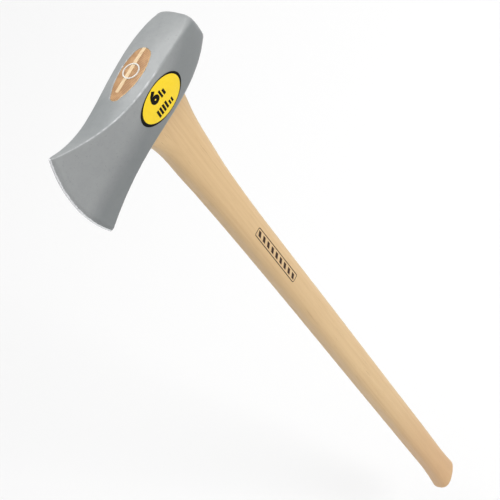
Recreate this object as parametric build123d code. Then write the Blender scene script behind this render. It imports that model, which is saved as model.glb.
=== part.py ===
"""Splitting maul: forged steel head on a hickory handle, held by a wood wedge and a steel ring wedge.

Millimetres. The origin is on the handle's axis in the plane of the head's underside.
+Z runs up the handle to the head, -X is the splitting bit, +X the flat poll,
and -Y is the cheek that carries the weight label.
"""
from build123d import *
import os
from math import copysign, cos, hypot, pi, radians, sin, sqrt, tan

# ---- Forged head -------------------------------------------------------------------------
# Stations across the head, poll to bit: x, half width, top, underside, cheek crown, top corner
# radius, lower corner radius. The crown is how far the cheek's middle stands out from its ends.
HEAD_STATIONS = [
    (73.0, 23.4, 48.8, 11.3, 1.2, 9.5, 12.5),
    (60.0, 25.1, 51.5, 5.9, 2.3, 5.5, 12.0),
    (22.0, 26.1, 55.5, 0.4, 2.7, 3.2, 8.0),
    (-38.0, 19.2, 57.4, -2.4, 1.8, 2.5, 4.4),
    (-78.0, 9.8, 67.3, -14.0, 1.5, 1.8, 2.4),
    (-115.0, 3.2, 88.4, -29.0, 0.9, 0.9, 0.9),
    (-128.0, 1.85, 97.0, -34.5, 0.55, 0.6, 0.6),
]
ROOF_RADIUS = 70.0            # the top is crowned across the head, with a ridge along each side
UNDERSIDE_RADIUS = 180.0
POLL_STATION = HEAD_STATIONS[0]
# Steps round the poll's rim: distance past the station, inset at the sides, inset above and below.
POLL_RIM_STEPS = [(2.8, 0.9, 0.5), (5.0, 2.4, 1.4), (6.8, 5.4, 2.8), (8.0, 10.5, 6.0)]

EDGE_RADIUS = 155.0           # convex cutting edge, seen from the side
EDGE_CENTRE_X = 30.0
EDGE_CENTRE_Z = 25.6
EDGE_LAND = 0.6               # blunt land left along the edge
EDGE_BEVEL = 28.0             # half angle of the ground edge, degrees
EDGE_BODY_HALF = 32.0         # half thickness of the body of revolution that grinds the edge

# ---- Eye: a lens-shaped hole through the head, wider at the top --------------------------
EYE_POLL_END = 32.5
EYE_POLL_SHOULDER = (26.5, 9.5)
EYE_SIDE = (4.0, 12.8)
EYE_BIT_SHOULDER = (-24.0, 5.4)
EYE_BIT_END = -28.5
EYE_TOP_Z = 75.0
EYE_TOP_SCALE = 1.02
EYE_LOW_Z = -15.0
EYE_LOW_SCALE = 0.92

# ---- Handle ------------------------------------------------------------------------------
# Stations down the handle: z, half width (X), half thickness (Y), centre x.
SHOULDER_STATIONS = [
    (3.0, 33.9, 15.2, 1.2),
    (-9.0, 31.9, 15.2, 1.7),
    (-34.0, 26.2, 15.1, 1.9),
    (-70.0, 22.8, 15.0, 0.8),
    (-99.0, 20.8, 14.9, 0.0),
    (-110.0, 20.1, 14.8, -0.3),
]
GRIP_STATIONS = [
    SHOULDER_STATIONS[-1],
    (-166.0, 18.4, 14.6, -0.7),
    (-314.0, 17.2, 14.4, -0.3),
    (-496.0, 16.6, 14.3, -0.1),
    (-644.0, 16.1, 14.1, 0.0),
    (-700.0, 15.9, 14.0, 0.0),
]
KNOB_STATIONS = [
    GRIP_STATIONS[-1],
    (-714.0, 15.8, 14.0, 0.0),
    (-750.0, 15.5, 13.9, 0.0),
    (-793.0, 16.0, 14.0, 0.0),
    (-829.0, 18.8, 14.4, 0.0),
    (-842.0, 19.7, 14.6, 0.0),
]
SECTION_POWER = 2.9           # superellipse power: flat faces and softly rounded corners
SECTION_POINTS = 16
BUTT_Z = -825.5               # the butt's end on the handle's axis
BUTT_SLOPE = 23.0             # the end is sawn this far off square, longer on the bit side
BUTT_SIDE_SLOPE = 18.0        # and this far off square the other way, longer on the plain side
BUTT_DOME_RADIUS = 62.0
BUTT_RIM_HALF = 24.0          # just past the knob's half width
BUTT_RIM_RADIUS = 5.0

# ---- Wedges ------------------------------------------------------------------------------
WEDGE_BIT_END = -19.0         # the sawn kerf starts here and runs out at the tenon's poll end
WEDGE_Y = 1.2                 # the kerf is sawn a little off the middle
WEDGE_TOP_Z = 70.0
WEDGE_TOP_THICKNESS = 5.0
WEDGE_TIP_Z = 18.0
WEDGE_TIP_THICKNESS = 1.0
KERF_LOW_Z = 8.0              # the kerf is sawn deeper than the wedge reaches

RING_CENTRE = (5.3, -0.4)
RING_TOP_RADIUS = 8.7
RING_LOW_RADIUS = 8.0
RING_TOP_WALL = 1.3
RING_LOW_WALL = 0.4
RING_TOP_Z = 56.3
RING_HEIGHT = 20.0

# ---- Weight label ------------------------------------------------------------------------
LABEL_CENTRE_X = -1.4
LABEL_CENTRE_Z = 28.4
LABEL_HALF_LENGTH = 29.3
LABEL_HALF_HEIGHT = 18.3
LABEL_TILT = 1.0              # degrees, poll end down
LABEL_THICKNESS = 0.3


def corner_arc(cheek, face, radius, toward):
    """Start, middle and end (y, z) of the arc that rounds the corner between two crowned faces.

    cheek and face are circles (y, z, radius); toward is 1 for the top corner and -1 for the lower.
    """
    cheek_y, cheek_z, cheek_radius = cheek
    face_y, face_z, face_radius = face
    from_cheek, from_face = cheek_radius - radius, face_radius - radius
    gap = hypot(face_y - cheek_y, face_z - cheek_z)
    along_y, along_z = (face_y - cheek_y) / gap, (face_z - cheek_z) / gap
    along = (from_cheek**2 - from_face**2 + gap**2) / (2 * gap)
    aside = sqrt(from_cheek**2 - along**2) * toward
    y = cheek_y + along * along_y - aside * along_z
    z = cheek_z + along * along_z + aside * along_y
    start_y, start_z = (y - cheek_y) / from_cheek, (z - cheek_z) / from_cheek
    end_y, end_z = (y - face_y) / from_face, (z - face_z) / from_face
    spread = hypot(start_y + end_y, start_z + end_z)
    return (
        (y + radius * start_y, z + radius * start_z),
        (y + radius * (start_y + end_y) / spread, z + radius * (start_z + end_z) / spread),
        (y + radius * end_y, z + radius * end_z),
    )


def head_outline(x, half, top, low, cheek_crown, corner, foot):
    """Closed outline across the head: crowned faces, each run smoothly into its corners."""
    middle = (top + low) / 2
    cheek_radius = ((top - low) ** 2 / 4 + cheek_crown**2) / (2 * cheek_crown)
    cheek = (half - cheek_radius, middle, cheek_radius)
    high = corner_arc(cheek, (0, top - ROOF_RADIUS, ROOF_RADIUS), corner, 1)
    deep = corner_arc(cheek, (0, low + UNDERSIDE_RADIUS, UNDERSIDE_RADIUS), foot, -1)
    edges = []
    for side in (1, -1):
        ends = [[(x, side * y, z) for y, z in arc] for arc in (high, deep)]
        edges.append(ThreePointArc(ends[1][0], (x, side * half, middle), ends[0][0]))
        edges.extend(ThreePointArc(*end) for end in ends)
    for arc, face in ((high, top), (deep, low)):
        y, z = arc[2]
        edges.append(ThreePointArc((x, y, z), (x, 0, face), (x, -y, z)))
    return Wire(edges)


def head_blank(grow=0.0):
    """The forging before its eye is punched; grow makes it larger all round for the label's skin."""
    outlines = []
    for x, half, top, low, cheek_crown, corner, foot in HEAD_STATIONS:
        grown = (half + grow, top + grow, low - grow, cheek_crown, corner + grow, foot + grow)
        outlines.append(head_outline(x, *grown))
    return Solid.make_loft(outlines)


def poll_rim():
    """The rounded rim of the striking face, in short tapered steps."""
    x, half, top, low, cheek_crown, corner, foot = POLL_STATION
    rim = []
    start = head_outline(*POLL_STATION)
    for reach, aside, inset in POLL_RIM_STEPS:
        face = (half - aside, top - inset, low + inset, cheek_crown, corner, foot - inset)
        end = head_outline(x + reach, *face)
        rim.append(Solid.make_loft([start, end], True))
        start = end
    return rim


def edge_grinder():
    """A body of revolution with a V rim: what lies inside it is left after the edge is ground."""
    rim_depth = (EDGE_BODY_HALF - EDGE_LAND / 2) / tan(radians(EDGE_BEVEL))
    profile = Polyline(
        (0, -EDGE_BODY_HALF),
        (EDGE_RADIUS - rim_depth, -EDGE_BODY_HALF),
        (EDGE_RADIUS, -EDGE_LAND / 2),
        (EDGE_RADIUS, EDGE_LAND / 2),
        (EDGE_RADIUS - rim_depth, EDGE_BODY_HALF),
        (0, EDGE_BODY_HALF),
        close=True)
    wheel = revolve(make_face(profile), Axis.Y)
    return Pos(EDGE_CENTRE_X, 0, EDGE_CENTRE_Z) * wheel


def eye_outline(z, scale):
    """The eye's lens shape: blunt at the poll end, narrow at the bit end."""
    def point(x, y):
        return (x * scale, y * scale, z)

    poll_x, poll_y = EYE_POLL_SHOULDER
    side_x, side_y = EYE_SIDE
    bit_x, bit_y = EYE_BIT_SHOULDER
    return Wire([
        ThreePointArc(point(poll_x, -poll_y), point(EYE_POLL_END, 0), point(poll_x, poll_y)),
        ThreePointArc(point(poll_x, poll_y), point(side_x, side_y), point(bit_x, bit_y)),
        ThreePointArc(point(bit_x, bit_y), point(EYE_BIT_END, 0), point(bit_x, -bit_y)),
        ThreePointArc(point(bit_x, -bit_y), point(side_x, -side_y), point(poll_x, -poll_y)),
    ])


def handle_outline(z, half_x, half_y, centre_x):
    """Closed smooth outline across the handle, a superellipse."""
    points = []
    for index in range(SECTION_POINTS):
        angle = 2 * pi * index / SECTION_POINTS
        x = half_x * copysign(abs(cos(angle)) ** (2 / SECTION_POWER), cos(angle))
        y = half_y * copysign(abs(sin(angle)) ** (2 / SECTION_POWER), sin(angle))
        points.append((centre_x + x, y, z))
    return Wire([Spline(*points, periodic=True)])


def handle_run(stations):
    """One stretch of the handle, lofted through its stations."""
    return Solid.make_loft([handle_outline(*station) for station in stations])


def butt_offcut():
    """What is sawn and sanded off the butt, leaving it domed and a little off square."""
    aside, across = sin(radians(BUTT_SLOPE)), sin(radians(BUTT_SIDE_SLOPE))
    rise = sqrt(1 - aside**2 - across**2)
    radius = BUTT_DOME_RADIUS
    centre = (-radius * aside, radius * across, BUTT_Z + radius * rise)
    waste = Pos(0, 0, BUTT_Z) * Box(4 * BUTT_RIM_HALF, 4 * BUTT_RIM_HALF, 2 * BUTT_RIM_HALF)
    return waste - Pos(*centre) * Sphere(radius)


def kerf_profile(top_z, top_thickness, low_z, low_thickness, low_cut=None):
    """The wedge's section across the handle, run out past the poll end of the eye."""
    outline = [
        (0, WEDGE_Y - top_thickness / 2, top_z),
        (0, WEDGE_Y - low_thickness / 2, low_z),
    ]
    if low_cut is not None:
        outline.append((0, WEDGE_Y - low_thickness / 2, low_cut))
        outline.append((0, WEDGE_Y + low_thickness / 2, low_cut))
    outline.append((0, WEDGE_Y + low_thickness / 2, low_z))
    outline.append((0, WEDGE_Y + top_thickness / 2, top_z))
    face = make_face(Polyline(*outline, close=True))
    reach = EYE_POLL_END + 10 - WEDGE_BIT_END
    return Pos(WEDGE_BIT_END, 0, 0) * extrude(face, amount=reach, dir=(1, 0, 0))


def ring_body():
    """The tapered steel ring, thick at the top and nearly sharp below."""
    low = RING_TOP_Z - RING_HEIGHT
    profile = Polyline(
        (RING_TOP_RADIUS - RING_TOP_WALL, 0, RING_TOP_Z),
        (RING_TOP_RADIUS, 0, RING_TOP_Z),
        (RING_LOW_RADIUS, 0, low),
        (RING_LOW_RADIUS - RING_LOW_WALL, 0, low),
        close=True)
    ring = revolve(make_face(profile), Axis.Z)
    return Pos(RING_CENTRE[0], RING_CENTRE[1], 0) * ring


def one_solid(shape, name):
    """The shape's only solid; a stray second one is a mistake in the design."""
    solids = shape.solids()
    if len(solids) != 1:
        raise ValueError(f"{name} came out as {len(solids)} solids")
    return solids[0]


# ---- Build the pieces --------------------------------------------------------------------
blank = head_blank()
for step in poll_rim():
    blank = blank + step
blank = blank & edge_grinder()
eye = Solid.make_loft([eye_outline(EYE_LOW_Z, EYE_LOW_SCALE), eye_outline(EYE_TOP_Z, EYE_TOP_SCALE)], True)
maul_head = one_solid(blank - eye, "maul_head")

wedge_space = kerf_profile(WEDGE_TOP_Z, WEDGE_TOP_THICKNESS, WEDGE_TIP_Z, WEDGE_TIP_THICKNESS)
kerf_space = kerf_profile(WEDGE_TOP_Z, WEDGE_TOP_THICKNESS, WEDGE_TIP_Z, WEDGE_TIP_THICKNESS, KERF_LOW_Z)
ring_wedge = ring_body()
tenon_blank = blank & eye
wood_wedge = one_solid((tenon_blank & wedge_space) - ring_wedge, "wood_wedge")
tenon = tenon_blank - kerf_space - ring_wedge

knob = handle_run(KNOB_STATIONS) - butt_offcut()
knob = fillet(knob.faces().sort_by(Axis.Z)[0].edges(), BUTT_RIM_RADIUS)
handle_stock = handle_run(SHOULDER_STATIONS) + handle_run(GRIP_STATIONS) + knob
handle = one_solid((handle_stock - blank) + tenon, "handle")

oval = Pos(LABEL_CENTRE_X, 0, LABEL_CENTRE_Z) * Rot(90, 0, 0) * Rot(0, 0, -LABEL_TILT) * Ellipse(
    LABEL_HALF_LENGTH, LABEL_HALF_HEIGHT)
oval_prism = extrude(oval, amount=60, dir=(0, -1, 0))
weight_label = one_solid((head_blank(LABEL_THICKNESS) & oval_prism) - blank, "weight_label")

os.makedirs("parts", exist_ok=True)
for name, shape in (
    ("maul_head", maul_head),
    ("handle", handle),
    ("wood_wedge", wood_wedge),
    ("ring_wedge", ring_wedge),
    ("weight_label", weight_label),
):
    export_step(shape, f"parts/{name}.step")
    print(name, round(shape.volume), shape.is_valid)
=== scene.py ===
"""The looks of a splitting maul: forged grey head, hickory handle, wedges, weight label and inked mark.

Everything is in metres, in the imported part's own frame: the origin is on the handle's axis at the
head's underside, +Z runs up to the head, -X is the bit, +X the poll and -Y the labelled cheek.
"""

import math

import bmesh
import bpy
import numpy as np
from mathutils import Matrix, Vector, noise
from mathutils.bvhtree import BVHTree


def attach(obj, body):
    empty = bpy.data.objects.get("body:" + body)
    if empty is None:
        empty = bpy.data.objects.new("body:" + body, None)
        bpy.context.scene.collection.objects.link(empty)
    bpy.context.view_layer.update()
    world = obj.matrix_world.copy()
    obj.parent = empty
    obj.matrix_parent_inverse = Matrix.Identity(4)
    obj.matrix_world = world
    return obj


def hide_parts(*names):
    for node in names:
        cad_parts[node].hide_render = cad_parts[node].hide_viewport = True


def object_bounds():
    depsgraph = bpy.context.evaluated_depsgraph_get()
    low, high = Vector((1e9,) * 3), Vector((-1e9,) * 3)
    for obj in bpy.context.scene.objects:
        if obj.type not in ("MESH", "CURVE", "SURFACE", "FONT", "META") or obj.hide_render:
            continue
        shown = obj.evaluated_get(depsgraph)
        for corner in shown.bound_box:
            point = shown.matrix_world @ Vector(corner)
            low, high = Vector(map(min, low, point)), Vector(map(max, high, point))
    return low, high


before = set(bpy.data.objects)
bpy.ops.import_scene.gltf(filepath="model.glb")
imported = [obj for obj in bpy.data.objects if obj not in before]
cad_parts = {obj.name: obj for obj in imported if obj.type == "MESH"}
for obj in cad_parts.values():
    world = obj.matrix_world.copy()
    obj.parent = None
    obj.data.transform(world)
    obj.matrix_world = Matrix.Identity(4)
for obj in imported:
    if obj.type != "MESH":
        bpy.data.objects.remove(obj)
CAD_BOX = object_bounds()
MM = 0.001

# ---- View and light ----------------------------------------------------------------------
CAMERA_AZIMUTH = -28.67
CAMERA_ELEVATION = 49.18
CAMERA_ROLL = -38.97
CAMERA_DISTANCE = 1.6887
CAMERA_TARGET = Vector((-0.0096, 0.0097, -0.2386))
CAMERA_LENS = 118.0
SENSOR_WIDTH = 36.0

FLOOR_SIZE = 12.0
FLOOR_DROP = 0.15             # the floor lies this far below the butt, out of its shadow
FLOOR_WHITE = 0.83
WORLD_STRENGTH = 0.42

# Area lights: name, azimuth, elevation, distance from the object's middle, size, power in watts.
LIGHTS = [
    ("top_light", 84.0, 74.0, 4.5, 5.0, 198.0),
    ("front_light", 4.0, 38.0, 4.5, 1.2, 52.0),
    ("back_light", 195.0, 35.0, 4.5, 3.0, 16.0),
]

# ---- Head --------------------------------------------------------------------------------
# The cutting edge is an arc about this centre, seen from the side.
EDGE_CENTRE = Vector((30.0 * MM, 0.0, 25.6 * MM))
EDGE_RADIUS = 155.0 * MM
GROUND_BAND = 1.6 * MM         # width of bright ground steel along the edge
GROUND_FADE = 0.3 * MM
RUBBED_AND_HIGHLIT_REACH = 2.0 * MM        # how far from a corner the paint is rubbed, and lightened as a painted highlight
HEAD_VOXEL = 0.6 * MM
HEAD_EASE = 3                  # rounds of smoothing, which ease the sharp edges
# Waves left by the forging dies: wavelength across, wavelength along Z, depth.
HEAD_WAVES = [(26.0 * MM, 26.0 * MM, 0.16 * MM), (8.0 * MM, 8.0 * MM, 0.05 * MM)]

# ---- Handle ------------------------------------------------------------------------------
HANDLE_VOXEL = 0.8 * MM
HANDLE_EASE = 3
# Waves left by turning and sanding: wavelength across, wavelength along Z, depth.
HANDLE_WAVES = [(18.0 * MM, 160.0 * MM, 0.22 * MM), (6.0 * MM, 60.0 * MM, 0.06 * MM)]
TENON_FOOT = -12.0 * MM       # above this the handle keeps its fit in the eye
WAVES_FADE = 30.0 * MM        # and the waves grow to their full depth over this length below it
HANDLED_ZONE = (-560.0 * MM, -810.0 * MM)    # the wood grows warmer between these heights

# ---- Weight label ------------------------------------------------------------------------
FACE_CENTRE = (-1.2 * MM, 28.6 * MM)
FACE_HALF = (26.3 * MM, 17.6 * MM)
FACE_TILT = math.radians(-2.5)
FILM_STEP = 0.06 * MM         # the yellow face's thickness, and how far it stands off the black film
INK_STEP = 0.05 * MM
INK_GAP = 0.02 * MM
# The print is placed in millimetres, along and across the oval from its middle.
PRINT_FIGURE = (-11.4, 1.9, 10.8, 14.2)      # left, foot, width, height
FIGURE_WEIGHT = 0.06          # how far the figure's strokes are thickened, as a share of its size
# Rows of bars: left, foot, bar width, height, pitch, count.
PRINT_ROWS = [
    (0.2, 1.4, 2.4, 8.4, 0.0, 1),
    (4.0, 1.4, 2.9, 6.0, 0.0, 1),
    (-12.4, -12.6, 2.6, 8.4, 3.9, 4),
    (3.6, -12.6, 2.2, 5.0, 3.5, 2),
]
OVAL_POINTS = 96
LAY_GRID = 1.2 * MM           # films are cut on this grid, to follow the surface below

# ---- Handle mark -------------------------------------------------------------------------
MARK_X = (-7.5 * MM, 2.4 * MM)
MARK_Z = (-300.0 * MM, -202.0 * MM)
MARK_LINE = 0.9 * MM
MARK_CORNER = 2.2 * MM
MARK_BARS = 9
MARK_BAR_INSET = 2.4 * MM
MARK_BAR_SHARE = 0.5          # of the pitch between bars
MARK_BAR_SLANT = 3.5 * MM


def direction(azimuth, elevation):
    """Unit vector from the object towards an azimuth and elevation; azimuth 0 is -Y, 90 is +X."""
    a, e = math.radians(azimuth), math.radians(elevation)
    return Vector((math.sin(a) * math.cos(e), -math.cos(a) * math.cos(e), math.sin(e)))


# ---- Node materials ----------------------------------------------------------------------
class Finish:
    """A node material, with short calls for the nodes that it is made of."""

    def __init__(self, name):
        self.material = bpy.data.materials.new(name)
        self.material.use_nodes = True
        self.tree = self.material.node_tree
        self.shader = self.tree.nodes["Principled BSDF"]
        self.place = self.tree.nodes.new("ShaderNodeTexCoord").outputs["Object"]

    def node(self, kind, inputs=None, **settings):
        """A new node, its inputs set or linked and its settings made."""
        made = self.tree.nodes.new(kind)
        for key, value in settings.items():
            setattr(made, key, value)
        for key, value in (inputs or {}).items():
            self.put(made.inputs[key], value)
        return made

    def put(self, socket, value):
        """Links a value that is an output, and sets any other."""
        if isinstance(value, bpy.types.NodeSocket):
            self.tree.links.new(value, socket)
        else:
            socket.default_value = value

    def set(self, **values):
        """Sets or links sockets of the surface shader; underscores stand for spaces."""
        for key, value in values.items():
            self.put(self.shader.inputs[key.replace("_", " ")], value)

    def math(self, operation, a, b=0.0, c=0.0, clamp=False):
        """A number worked out from up to three others."""
        made = self.node("ShaderNodeMath", {0: a, 1: b, 2: c}, operation=operation, use_clamp=clamp)
        return made.outputs[0]

    def vector(self, operation, *inputs):
        """A vector math node's outputs, "Vector" and "Value"."""
        return self.node("ShaderNodeVectorMath", dict(enumerate(inputs)), operation=operation).outputs

    def stretched(self, scale, vector=None):
        """Object coordinates scaled along each axis."""
        return self.vector("MULTIPLY", vector or self.place, scale)["Vector"]

    def noise(self, scale, detail=2.0, rough=0.5):
        """Fractal noise; scale is a vector of cycles per metre."""
        inputs = {"Vector": self.stretched(scale), "Scale": 1.0, "Detail": detail, "Roughness": rough}
        return self.node("ShaderNodeTexNoise", inputs).outputs[0]

    def step(self, value, low, high, to_low=0.0, to_high=1.0):
        """A smooth step of value between low and high."""
        inputs = {0: value, 1: low, 2: high, 3: to_low, 4: to_high}
        return self.node("ShaderNodeMapRange", inputs, interpolation_type="SMOOTHSTEP").outputs[0]

    def blend(self, share, a, b):
        """A colour that is a where share is 0, and b where it is 1."""
        inputs = {0: share, 6: a, 7: b}
        return self.node("ShaderNodeMix", inputs, data_type="RGBA").outputs[2]

    def axes(self, vector=None):
        """The three parts of a vector, or of the object coordinates."""
        parts = self.node("ShaderNodeSeparateXYZ", {0: vector or self.place})
        return parts.outputs[0], parts.outputs[1], parts.outputs[2]

    def bump(self, height, distance, under=None):
        """A normal tilted by a height map, over another tilted normal if one is given."""
        inputs = {"Height": height, "Distance": distance, "Strength": 1.0}
        if under is not None:
            inputs["Normal"] = under
        return self.node("ShaderNodeBump", inputs).outputs[0]


def shade(red, green, blue):
    """A colour given as sRGB values from 0 to 255."""
    def linear(value):
        value /= 255
        return value / 12.92 if value <= 0.04045 else ((value + 0.055) / 1.055) ** 2.4

    return (linear(red), linear(green), linear(blue), 1.0)


def head_colour(paint, broad, true_normal):
    """Grey paint with random tone, painted shade on the lower cheeks, the poll end and the roof towards
    the bit, and painted light on the upper cheeks towards the bit.
    """
    # A dull grey for painted shade.
    painted_shade_grey = shade(112, 117, 118)
    body = paint.blend(paint.step(broad, 0.3, 0.7), shade(137, 140, 141), shade(147, 149, 149))
    mottle = paint.step(paint.noise((130, 130, 130), 4.0, 0.62), 0.36, 0.64)
    body = paint.blend(paint.math("MULTIPLY", mottle, 0.3), body, shade(155, 157, 157))
    x, _, z = paint.axes()
    _, aside, upward = paint.axes(true_normal)

    # Painted light and shade on the cheeks: lighter along the top and towards the bit, darker lower down
    # and towards the poll.
    slant = paint.math("MULTIPLY_ADD", z, -0.97, paint.math("MULTIPLY", x, 0.25))
    slant = paint.math("MULTIPLY_ADD", broad, 8 * MM, slant)
    cheek_light_share = paint.step(slant, -18 * MM, -46 * MM)
    on_cheek = paint.step(paint.math("ABSOLUTE", aside), 0.6, 0.9)
    painted_cheek_shade = paint.math("MULTIPLY", on_cheek, paint.math("SUBTRACT", 1.0, cheek_light_share))
    # Painted shade: the lower cheeks and the poll end are darkened towards the dull grey.
    body = paint.blend(paint.math("MULTIPLY", painted_cheek_shade, 0.62), body, painted_shade_grey)
    painted_cheek_light = paint.math("MULTIPLY", on_cheek, cheek_light_share)
    # Painted light: the upper cheeks towards the bit are lightened.
    body = paint.blend(paint.math("MULTIPLY", painted_cheek_light, 0.4), body, shade(162, 164, 164))

    # Painted shade: the roof between the eye and the bit, where it faces up, is darkened towards the
    # dull grey.
    painted_roof_shade = paint.math("MULTIPLY", paint.step(x, -8 * MM, -36 * MM), paint.step(x, -100 * MM, -58 * MM))
    painted_roof_shade = paint.math("MULTIPLY", painted_roof_shade, paint.step(upward, 0.5, 0.8))
    body = paint.blend(paint.math("MULTIPLY", painted_roof_shade, 0.38), body, painted_shade_grey)
    speck = paint.step(paint.noise((420, 420, 420), 3.0, 0.6), 0.58, 0.74)
    return paint.blend(paint.math("MULTIPLY", speck, 0.4), body, shade(118, 121, 122))


def ground_edge(paint):
    """The share of ground steel: a ragged band along the cutting edge."""
    from_centre = paint.vector("SUBTRACT", paint.place, EDGE_CENTRE)["Vector"]
    radius = paint.vector("LENGTH", paint.stretched((1, 0, 1), from_centre))["Value"]
    ragged = paint.math("MULTIPLY_ADD", paint.noise((260, 260, 260), 3.0, 0.6), 1.6 * MM, -0.8 * MM)
    reach = paint.math("ADD", radius, ragged)
    band_start = EDGE_RADIUS - GROUND_BAND
    ground = paint.step(reach, band_start - GROUND_FADE, band_start + GROUND_FADE)
    x, _, _ = paint.axes()
    return paint.math("MULTIPLY", ground, paint.math("LESS_THAN", x, 0.0))


def rubbed_paint_and_highlight(paint, true_normal):
    """The share of bare steel where the paint is rubbed off corners, which also serves as a painted
    highlight, and of a painted highlight along the ridge.
    """
    # Rubbed corners: partly edge wear, partly a painted highlight on the sharp edges.
    soft_normal = paint.node("ShaderNodeBevel", {"Radius": RUBBED_AND_HIGHLIT_REACH}, samples=4).outputs[0]
    turn = paint.vector("DOT_PRODUCT", soft_normal, true_normal)["Value"]
    corner = paint.step(turn, 0.997, 0.96)
    patchy = paint.step(paint.noise((90, 90, 90), 4.0, 0.65), 0.42, 0.58)
    rubbed_and_highlit = paint.math("MULTIPLY", paint.math("MULTIPLY", corner, patchy), 0.28)

    # A painted highlight: a thin bright line along the ridge between roof and cheek, from the label to
    # the bit.
    x, _, _ = paint.axes()
    _, aside, upward = paint.axes(true_normal)
    ridge_highlight_mask = paint.step(paint.math("MINIMUM", paint.math("ABSOLUTE", aside), upward), 0.42, 0.6)
    ridge_highlight_mask = paint.math("MULTIPLY", ridge_highlight_mask, paint.step(x, 24 * MM, 4 * MM))
    # The painted ridge highlight, broken up in patches.
    worn = paint.math("MULTIPLY", ridge_highlight_mask, paint.math("MULTIPLY_ADD", patchy, 0.32, 0.14))
    return paint.math("MAXIMUM", rubbed_and_highlit, worn)


def head_finish():
    """Satin grey paint on forged steel, ground bright along the edge, rubbed on the corners as edge wear
    and painted highlight, with a painted highlight along the ridge.
    """
    paint = Finish("head_paint")
    broad = paint.noise((14, 14, 14), 3.0)
    true_normal = paint.node("ShaderNodeNewGeometry").outputs["Normal"]
    ground = ground_edge(paint)
    # Bare ground steel along the edge, plus rubbed corners and the ridge line, which are partly or
    # wholly painted highlight.
    bare_and_highlit = paint.math("MAXIMUM", ground, rubbed_paint_and_highlight(paint, true_normal))
    colour = paint.blend(bare_and_highlit, head_colour(paint, broad, true_normal), shade(226, 227, 229))
    paint.set(Base_Color=colour, Metallic=paint.math("MULTIPLY", bare_and_highlit, 0.5), Specular_IOR_Level=0.5)
    rough = paint.math("MULTIPLY_ADD", broad, 0.10, 0.25)
    paint.set(Roughness=paint.math("MULTIPLY_ADD", bare_and_highlit, -0.08, rough))
    peel = paint.bump(paint.noise((900, 900, 900), 2.0), 0.02 * MM)
    hammered = paint.bump(paint.noise((45, 45, 45), 2.0), 0.35 * MM, under=peel)
    grinding = paint.noise((200, 200, 2600), 2.0)
    paint.set(Normal=paint.bump(paint.math("MULTIPLY", grinding, ground), 0.03 * MM, under=hammered))
    return paint.material


def wood_finish(name, pale, deep, pore, ring_gap, ring_depth, end_pale, end_deep, gloss):
    """Straight-grained wood along Z: growth rings about a pith well off to one side, and long pores."""
    wood = Finish(name)
    x, y, z = wood.axes()
    # How deep a point lies across slightly bowed rings, and how far through its own ring it is.
    drift = wood.noise((9, 9, 1.1), 2.0)
    across = wood.math("ADD", wood.math("MULTIPLY", x, 0.35), wood.math("MULTIPLY", y, 0.94))
    bow = wood.math("MULTIPLY", wood.math("MULTIPLY", x, x), 3.2)
    depth = wood.math("ADD", wood.math("ADD", across, bow), wood.math("MULTIPLY", drift, 0.018))
    turn = wood.math("FRACT", wood.math("DIVIDE", depth, ring_gap))
    late = wood.math("MULTIPLY", wood.step(turn, 0.15, 0.8), wood.step(turn, 1.0, 0.86))
    streak = wood.noise((420, 420, 5), 3.0, 0.6)
    fibre = wood.noise((1500, 1500, 26), 2.0, 0.55)
    broad = wood.noise((30, 30, 2.2), 2.0)

    tone = wood.math("MULTIPLY_ADD", late, ring_depth, wood.math("MULTIPLY", streak, 0.42))
    tone = wood.math("ADD", tone, wood.math("MULTIPLY_ADD", broad, 0.5, -0.32))
    colour = wood.blend(wood.math("MULTIPLY", tone, 1.0, clamp=True), pale, deep)
    pores = wood.math("MULTIPLY", wood.step(fibre, 0.60, 0.74), wood.step(turn, 0.30, 0.0, 0.35, 1.0))
    colour = wood.blend(wood.math("MULTIPLY", pores, 0.5), colour, pore)
    handled = wood.step(z, *HANDLED_ZONE, 0.0, 0.4)
    colour = wood.blend(handled, colour, shade(206, 152, 106))

    # End grain, where a face is square to Z.
    _, _, facing = wood.axes(wood.node("ShaderNodeNewGeometry").outputs["Normal"])
    end = wood.step(wood.math("ABSOLUTE", facing), 0.55, 0.9)
    blotch = wood.step(wood.noise((110, 110, 110), 3.0, 0.6), 0.35, 0.65)
    end_tone = wood.math("MULTIPLY_ADD", late, 0.45, wood.math("MULTIPLY", blotch, 0.55))
    rings = wood.blend(end_tone, end_pale, end_deep)
    colour = wood.blend(wood.math("MULTIPLY", end, 0.92), colour, rings)
    wood.set(Base_Color=colour)
    wood.set(Roughness=wood.math("MULTIPLY_ADD", streak, 0.16, gloss))
    wood.set(Specular_IOR_Level=0.3, Coat_Weight=0.05, Coat_Roughness=0.28)
    raised = wood.math("SUBTRACT", wood.math("MULTIPLY", late, 0.4), wood.math("MULTIPLY", pores, 0.8))
    wood.set(Normal=wood.bump(wood.math("ADD", raised, wood.math("MULTIPLY", streak, 0.5)), 0.06 * MM))
    return wood.material


def steel_finish():
    """Turned bright steel of the ring."""
    steel = Finish("ring_steel")
    wear = steel.noise((120, 120, 120), 3.0)
    steel.set(Base_Color=steel.blend(wear, shade(214, 211, 204), shade(240, 238, 232)))
    steel.set(Metallic=0.55, Roughness=steel.math("MULTIPLY_ADD", wear, 0.2, 0.26))
    steel.set(Normal=steel.bump(steel.noise((300, 300, 2400), 2.0), 0.03 * MM))
    return steel.material


def film_finish(name, colour, worn, gloss, shine=0.4):
    """Printed plastic film with faint scuffs."""
    film = Finish(name)
    scuff = film.step(film.noise((160, 160, 60), 4.0, 0.65), 0.5, 0.72)
    film.set(Base_Color=film.blend(film.math("MULTIPLY", scuff, 0.35), colour, worn))
    film.set(Roughness=film.math("MULTIPLY_ADD", scuff, 0.2, gloss), Specular_IOR_Level=shine)
    film.set(Normal=film.bump(film.noise((500, 500, 500), 2.0), 0.01 * MM))
    return film.material


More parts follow.
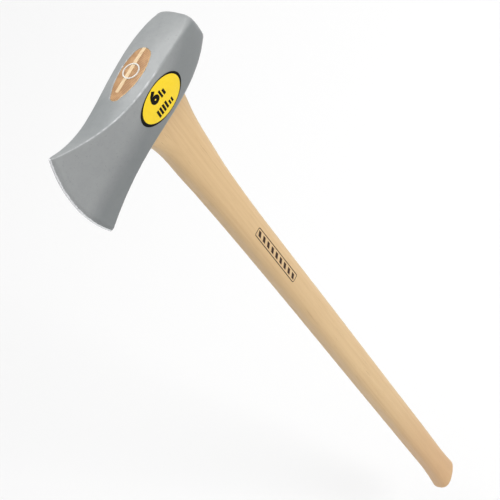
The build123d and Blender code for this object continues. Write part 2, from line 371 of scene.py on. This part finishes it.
# ---- Meshes worked up from the CAD solids --------------------------------------------------
def evened(node, name, voxel, ease):
    """A CAD node's shape as an even mesh of small quads, with its sharp edges eased."""
    piece = bpy.data.objects.new(name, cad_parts[node].data.copy())
    bpy.context.scene.collection.objects.link(piece)
    remesh = piece.modifiers.new("even", "REMESH")
    remesh.mode = "VOXEL"
    remesh.voxel_size = voxel
    remesh.use_smooth_shade = True
    smooth = piece.modifiers.new("ease", "SMOOTH")
    smooth.iterations = ease
    graph = bpy.context.evaluated_depsgraph_get()
    mesh = bpy.data.meshes.new_from_object(piece.evaluated_get(graph))
    piece.modifiers.clear()
    piece.data = mesh
    mesh.name = name
    return piece


def waved(piece, waves, share):
    """Moves a mesh's points along their normals by gentle waves; share(point) fades them out."""
    mesh = piece.data
    points = np.empty(len(mesh.vertices) * 3)
    mesh.vertices.foreach_get("co", points)
    points = points.reshape(-1, 3)
    normals = np.empty_like(points)
    mesh.vertex_normals.foreach_get("vector", normals.ravel())
    for index, point in enumerate(points):
        height = 0.0
        for across, along, depth in waves:
            height += depth * noise.noise((point[0] / across, point[1] / across, point[2] / along))
        points[index] = point + normals[index] * height * share(point)
    mesh.vertices.foreach_set("co", points.ravel())
    mesh.update()


def build_head():
    """The forged head."""
    head = evened("maul_head", "head_forging", HEAD_VOXEL, HEAD_EASE)
    waved(head, HEAD_WAVES, lambda point: 1.0)
    finish_piece(head, head_finish(), "maul_head")


def build_handle():
    """The hickory handle; its mesh is returned for the mark to lie on."""
    handle = evened("handle", "hickory_handle", HANDLE_VOXEL, HANDLE_EASE)
    waved(handle, HANDLE_WAVES, lambda point: float(np.clip((TENON_FOOT - point[2]) / WAVES_FADE, 0, 1)))
    hickory = wood_finish(
        "hickory", pale=shade(231, 198, 149), deep=shade(199, 157, 110), pore=shade(158, 113, 73),
        ring_gap=1.9 * MM, ring_depth=0.08,
        end_pale=shade(180, 140, 100), end_deep=shade(134, 95, 64), gloss=0.36)
    finish_piece(handle, hickory, "handle")
    return handle


def finish_piece(piece, material, node):
    """Gives a worked-up piece its finish and lets it stand for its CAD node."""
    piece.data.materials.clear()
    piece.data.materials.append(material)
    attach(piece, "root")
    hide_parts(node)


def dress(node, material):
    """Gives a carried-over CAD node its finish."""
    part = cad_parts[node]
    part.data.materials.clear()
    part.data.materials.append(material)


# ---- Films laid on the surfaces ----------------------------------------------------------
def surface_of(*objects):
    """A search tree of objects' surfaces, all in the part's frame."""
    vertices, faces = [], []
    for piece in objects:
        base = len(vertices)
        vertices.extend(v.co.copy() for v in piece.data.vertices)
        faces.extend([base + i for i in p.vertices] for p in piece.data.polygons)
    return BVHTree.FromPolygons(vertices, faces)


def cheek_y(tree, x, z):
    """Y of the surface seen from -Y at x, z."""
    hit, _, _, _ = tree.ray_cast(Vector((x, CAD_BOX[0].y - 0.1, z)), Vector((0, 1, 0)))
    if hit is None:
        raise ValueError(f"nothing to lie on at x {x:.4f}, z {z:.4f}")
    return hit.y


def split_on_grid(bm, gap):
    """Cuts a flat mesh in the XZ plane along a square grid, so that it can follow a crowned surface."""
    for axis in (0, 2):
        low = min(v.co[axis] for v in bm.verts)
        high = max(v.co[axis] for v in bm.verts)
        normal = Vector((axis == 0, 0, axis == 2))
        for index in range(1, math.ceil((high - low) / gap)):
            point = normal * (low + index * gap)
            everything = bm.verts[:] + bm.edges[:] + bm.faces[:]
            bmesh.ops.bisect_plane(bm, geom=everything, plane_co=point, plane_no=normal)


def laid_film(name, bm, tree, lift, thickness, material):
    """A thin solid film: the flat XZ mesh bm laid on the surface seen from -Y, standing off by lift."""
    bmesh.ops.triangulate(bm, faces=[f for f in bm.faces if len(f.verts) > 4])
    for vertex in bm.verts:
        vertex.co.y = cheek_y(tree, vertex.co.x, vertex.co.z) - lift
    for face in bm.faces:
        face.normal_update()
        if face.normal.y > 0:
            face.normal_flip()
    under = bmesh.ops.extrude_face_region(bm, geom=bm.faces[:])
    for vertex in (g for g in under["geom"] if isinstance(g, bmesh.types.BMVert)):
        vertex.co.y -= thickness
    bmesh.ops.recalc_face_normals(bm, faces=bm.faces[:])
    mesh = bpy.data.meshes.new(name)
    bm.to_mesh(mesh)
    bm.free()
    piece = bpy.data.objects.new(name, mesh)
    bpy.context.scene.collection.objects.link(piece)
    mesh.materials.append(material)
    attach(piece, "root")


def oval_sheet(centre, half, tilt):
    """A flat oval in the XZ plane."""
    bm = bmesh.new()
    rim = []
    for index in range(OVAL_POINTS):
        angle = 2 * math.pi * index / OVAL_POINTS
        along, up = half[0] * math.cos(angle), half[1] * math.sin(angle)
        x = centre[0] + along * math.cos(tilt) - up * math.sin(tilt)
        z = centre[1] + along * math.sin(tilt) + up * math.cos(tilt)
        rim.append(bm.verts.new((x, 0, z)))
    bm.faces.new(rim)
    return bm


def print_sheet(centre, tilt):
    """A figure and a row of plain upright bars as one flat mesh, set along an oval's long axis."""
    curve = bpy.data.curves.new("figure", "FONT")
    curve.body = "6"
    curve.resolution_u = 3
    curve.offset = FIGURE_WEIGHT
    drawn = bpy.data.objects.new("figure", curve)
    bpy.context.scene.collection.objects.link(drawn)
    bpy.context.view_layer.update()
    mesh = bpy.data.meshes.new_from_object(drawn)
    bpy.data.objects.remove(drawn)
    low = [min(v.co[axis] for v in mesh.vertices) for axis in (0, 1)]
    high = [max(v.co[axis] for v in mesh.vertices) for axis in (0, 1)]
    left, foot, width, height = PRINT_FIGURE
    for vertex in mesh.vertices:
        along = left + width * (vertex.co.x - low[0]) / (high[0] - low[0])
        up = foot + height * (vertex.co.y - low[1]) / (high[1] - low[1])
        vertex.co = (along * MM, 0, up * MM)
    bm = bmesh.new()
    bm.from_mesh(mesh)
    bpy.data.meshes.remove(mesh)
    for start, foot, width, height, pitch, count in PRINT_ROWS:
        for index in range(count):
            left = start + index * pitch
            right, top = left + width, foot + height
            corners = ((left, foot), (right, foot), (right, top), (left, top))
            bm.faces.new([bm.verts.new((along * MM, 0, up * MM)) for along, up in corners])
    place = Matrix.Translation((centre[0], 0, centre[1])) @ Matrix.Rotation(-tilt, 4, "Y")
    bm.transform(place)
    return bm


def rounded_loop(x0, x1, z0, z1, radius, corner_points=6):
    """Points round a rectangle with rounded corners."""
    points = []
    for quarter, (x, z) in enumerate(((x1 - radius, z1 - radius), (x0 + radius, z1 - radius),
                                      (x0 + radius, z0 + radius), (x1 - radius, z0 + radius))):
        for index in range(corner_points):
            angle = math.pi / 2 * (quarter + index / (corner_points - 1))
            points.append((x + radius * math.cos(angle), z + radius * math.sin(angle)))
    return points


def frame_sheet(x0, x1, z0, z1, corner, line):
    """A flat frame with rounded corners in the XZ plane."""
    bm = bmesh.new()
    outer = [bm.verts.new((x, 0, z)) for x, z in rounded_loop(x0, x1, z0, z1, corner)]
    inside = rounded_loop(x0 + line, x1 - line, z0 + line, z1 - line, corner - line)
    inner = [bm.verts.new((x, 0, z)) for x, z in inside]
    for index in range(len(outer)):
        after = (index + 1) % len(outer)
        bm.faces.new((outer[index], outer[after], inner[after], inner[index]))
    return bm


def build_label():
    """The black film, a yellow face on it and the printing on that."""
    black = film_finish("label_film", shade(10, 10, 9), shade(30, 29, 28), 0.5, 0.1)
    dress("weight_label", black)
    film = surface_of(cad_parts["weight_label"])

    face = oval_sheet(FACE_CENTRE, FACE_HALF, FACE_TILT)
    split_on_grid(face, LAY_GRID)
    yellow = film_finish("label_yellow", shade(255, 219, 14), shade(246, 202, 32), 0.36)
    laid_film("label_face", face, film, FILM_STEP, FILM_STEP, yellow)

    ink = print_sheet(FACE_CENTRE, FACE_TILT)
    split_on_grid(ink, LAY_GRID)
    laid_film("label_figures", ink, film, 2 * FILM_STEP + INK_GAP, INK_STEP, black)


def build_mark(handle):
    """A plain inked frame with slanted bars, on the handle's labelled side."""
    x0, x1 = MARK_X
    z0, z1 = MARK_Z
    bm = frame_sheet(x0, x1, z0, z1, MARK_CORNER, MARK_LINE)
    left, right = x0 + MARK_BAR_INSET, x1 - MARK_BAR_INSET
    foot = z0 + MARK_BAR_INSET
    pitch = (z1 - MARK_BAR_INSET - MARK_BAR_SLANT - foot) / (MARK_BARS - 1 + MARK_BAR_SHARE)
    for index in range(MARK_BARS):
        low = foot + index * pitch
        high = low + MARK_BAR_SHARE * pitch
        corners = ((left, low), (right, low + MARK_BAR_SLANT),
                   (right, high + MARK_BAR_SLANT), (left, high))
        bm.faces.new([bm.verts.new((x, 0, z)) for x, z in corners])
    split_on_grid(bm, LAY_GRID)
    ink = film_finish("handle_ink", shade(60, 38, 24), shade(110, 78, 50), 0.55, 0.2)
    laid_film("handle_mark", bm, surface_of(handle), 0.0, INK_STEP, ink)


# ---- Stage -------------------------------------------------------------------------------
def build_stage(low, high):
    """A pale floor below the butt, soft lights and a plain white surround."""
    middle = (low + high) / 2
    bm = bmesh.new()
    bmesh.ops.create_grid(bm, x_segments=1, y_segments=1, size=FLOOR_SIZE / 2)
    bmesh.ops.translate(bm, verts=bm.verts[:], vec=(middle.x, middle.y, low.z - FLOOR_DROP))
    mesh = bpy.data.meshes.new("floor")
    bm.to_mesh(mesh)
    bm.free()
    floor = bpy.data.objects.new("floor", mesh)
    bpy.context.scene.collection.objects.link(floor)
    pale = Finish("floor_pale")
    pale.set(Base_Color=(FLOOR_WHITE, FLOOR_WHITE, FLOOR_WHITE, 1), Roughness=0.9)
    mesh.materials.append(pale.material)

    for name, azimuth, elevation, distance, size, power in LIGHTS:
        data = bpy.data.lights.new(name, "AREA")
        data.shape = "DISK"
        data.size = size
        data.energy = power
        lamp = bpy.data.objects.new(name, data)
        towards = direction(azimuth, elevation)
        lamp.location = middle + towards * distance
        lamp.rotation_euler = (-towards).to_track_quat("-Z", "Y").to_euler()
        bpy.context.scene.collection.objects.link(lamp)

    world = bpy.data.worlds.new("studio")
    world.use_nodes = True
    world.node_tree.nodes["Background"].inputs["Color"].default_value = (1, 1, 1, 1)
    world.node_tree.nodes["Background"].inputs["Strength"].default_value = WORLD_STRENGTH
    bpy.context.scene.world = world
    bpy.context.scene.view_settings.view_transform = "Standard"


def build_camera():
    """A camera on the target, rolled about its own axis."""
    data = bpy.data.cameras.new("camera")
    data.lens = CAMERA_LENS
    data.sensor_width = SENSOR_WIDTH
    camera = bpy.data.objects.new("camera", data)
    back = direction(CAMERA_AZIMUTH, CAMERA_ELEVATION)
    level_right = Vector((0, 0, 1)).cross(back).normalized()
    level_up = back.cross(level_right)
    roll = math.radians(CAMERA_ROLL)
    right = level_right * math.cos(roll) + level_up * math.sin(roll)
    up = level_up * math.cos(roll) - level_right * math.sin(roll)
    turn = Matrix((right, up, back)).transposed().to_4x4()
    camera.matrix_world = Matrix.Translation(CAMERA_TARGET + back * CAMERA_DISTANCE) @ turn
    bpy.context.scene.collection.objects.link(camera)
    bpy.context.scene.camera = camera


build_camera()
build_stage(*CAD_BOX)
build_head()
HANDLE = build_handle()
WEDGE_WOOD = wood_finish(
    "wedge_wood", pale=shade(226, 206, 172), deep=shade(210, 186, 150), pore=shade(180, 148, 112),
    ring_gap=3.4 * MM, ring_depth=0.3,
    end_pale=shade(216, 194, 160), end_deep=shade(194, 166, 128), gloss=0.5)
dress("wood_wedge", WEDGE_WOOD)
dress("ring_wedge", steel_finish())
build_label()
build_mark(HANDLE)
